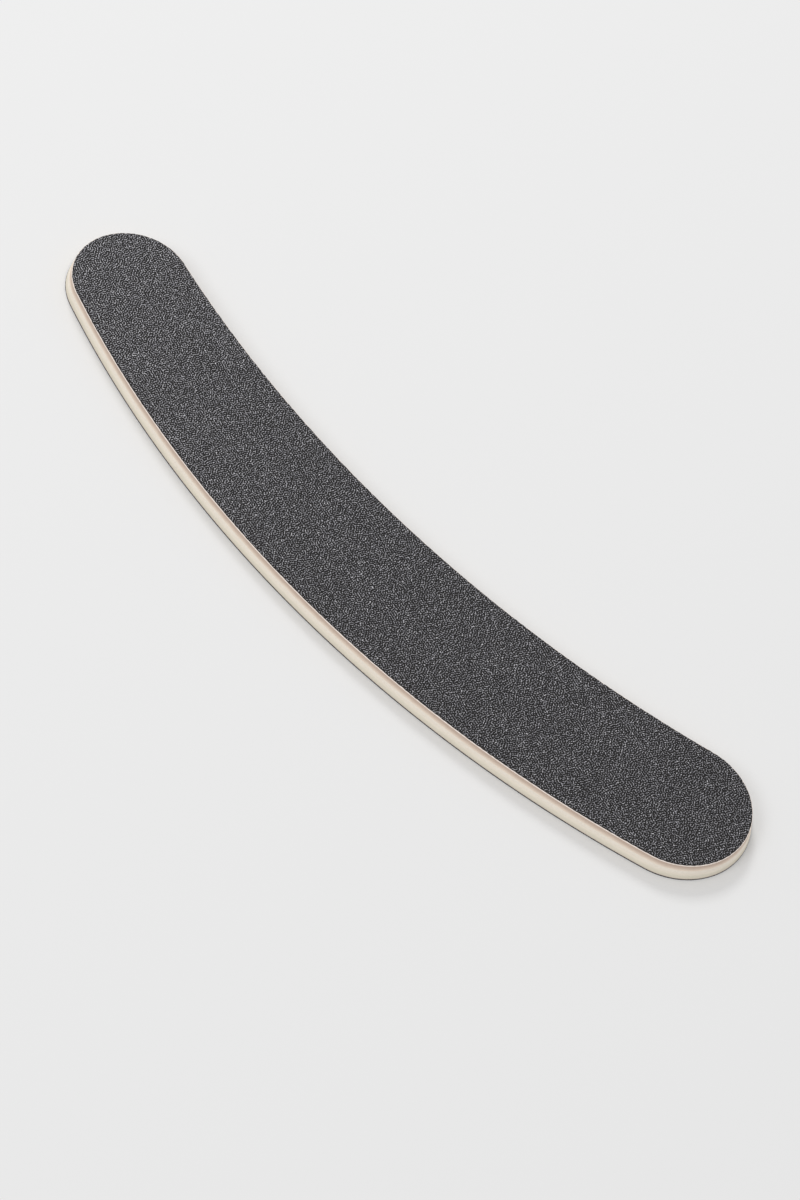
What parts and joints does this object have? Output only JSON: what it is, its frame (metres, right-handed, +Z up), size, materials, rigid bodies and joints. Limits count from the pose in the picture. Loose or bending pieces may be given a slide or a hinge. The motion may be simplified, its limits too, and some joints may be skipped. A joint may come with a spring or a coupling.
{
  "type": "emery board",
  "caption": "Flat crescent-shaped cushion emery board with rounded ends, dark abrasive grain on both faces, foam cushions and a stiff plastic core.",
  "frame": {"origin": "centre of the board's footprint, on the surface that it lies on", "axes": "+X along the straight line between the ends, towards the wide end; +Y towards the side that the bend opens to, across the board; +Z up, out of the top abrasive face"},
  "size_m": [0.178, 0.04, 0.004],
  "materials": {
    "abrasive_grain": "dark grey silicon carbide grain in resin, rough, with small bright glints",
    "backing_paper": "heavy latex paper, pale cut edge, matt",
    "adhesive_film": "clear to milky acrylic adhesive, slight sheen on its edge",
    "upper_cushion_foam": "closed-cell foam, matt, fine pores on the cut edge",
    "lower_cushion_foam": "closed-cell foam, matt, fine pores on the cut edge",
    "core_plastic": "pale polystyrene sheet with a smooth sheared edge"
  },
  "bodies": {
    "root": {"top_abrasive_coat": "abrasive_grain", "top_backing_paper": "backing_paper", "top_adhesive_film": "adhesive_film", "upper_foam": "upper_cushion_foam", "upper_core_adhesive": "adhesive_film", "plastic_core": "core_plastic", "lower_core_adhesive": "adhesive_film", "lower_foam": "lower_cushion_foam", "bottom_adhesive_film": "adhesive_film", "bottom_backing_paper": "backing_paper", "bottom_abrasive_coat": "abrasive_grain"}
  },
  "joints": []
}
